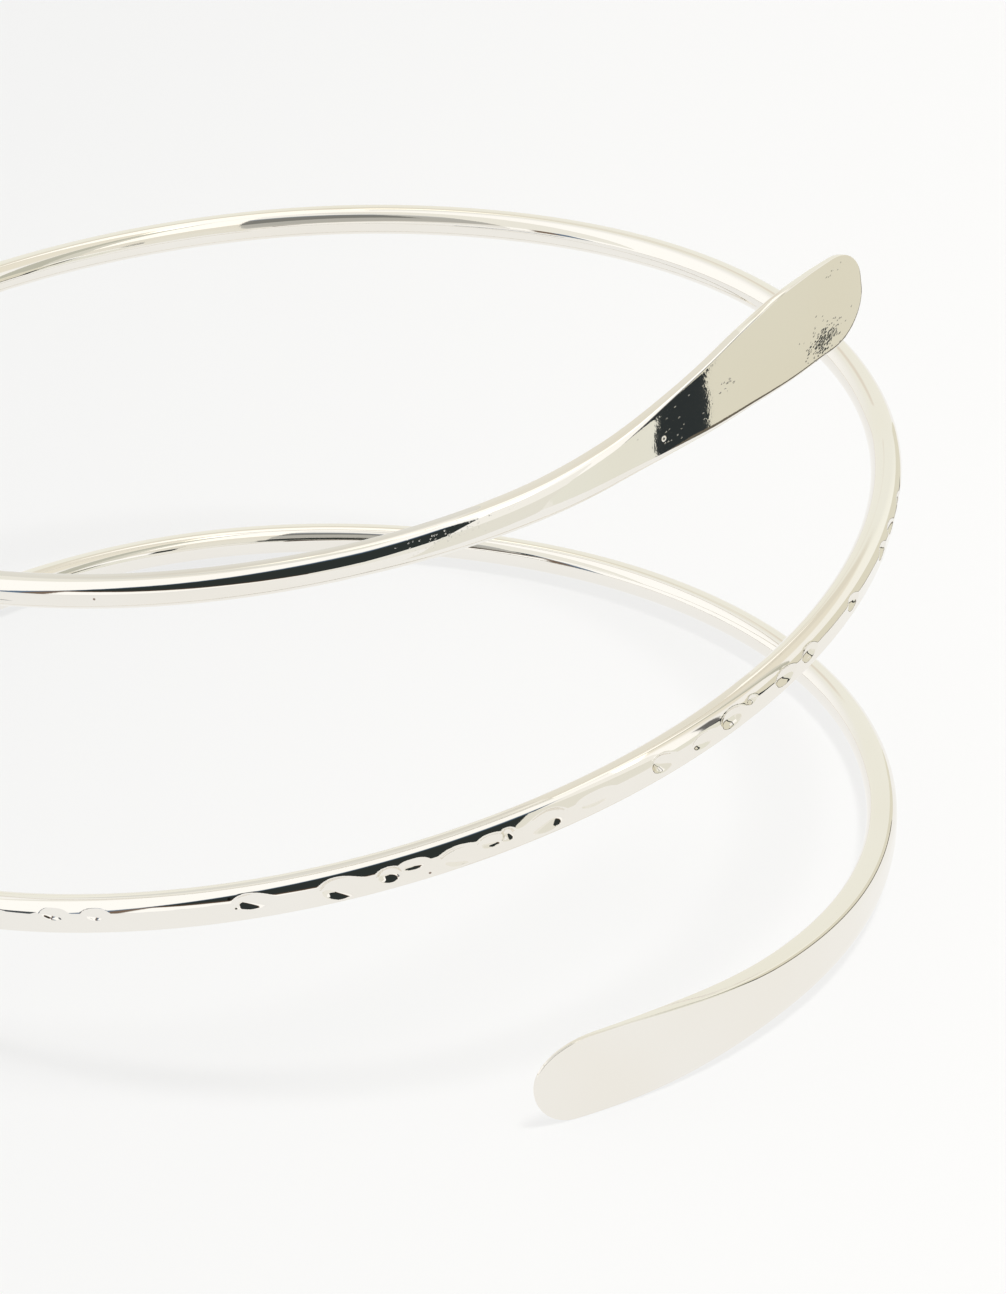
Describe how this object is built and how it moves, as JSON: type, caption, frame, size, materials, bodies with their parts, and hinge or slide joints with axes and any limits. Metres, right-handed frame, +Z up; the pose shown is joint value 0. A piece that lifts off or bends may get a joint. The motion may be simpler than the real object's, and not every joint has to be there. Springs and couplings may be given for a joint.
{
  "type": "upper arm cuff",
  "caption": "Open spiral upper arm cuff of polished round wire, with a flat paddle at each end and a hammered, dimpled stretch in the middle.",
  "frame": {"origin": "on the surface that the cuff stands on, under the middle of its box", "axes": "+Z up, along the arm that the coil goes round; -Y towards the side where the low tip and the hammered stretch face"},
  "size_m": [0.093, 0.093, 0.0551],
  "materials": {
    "silver": "polished"
  },
  "bodies": {
    "root": {"arm_coil": "silver"}
  },
  "joints": []
}
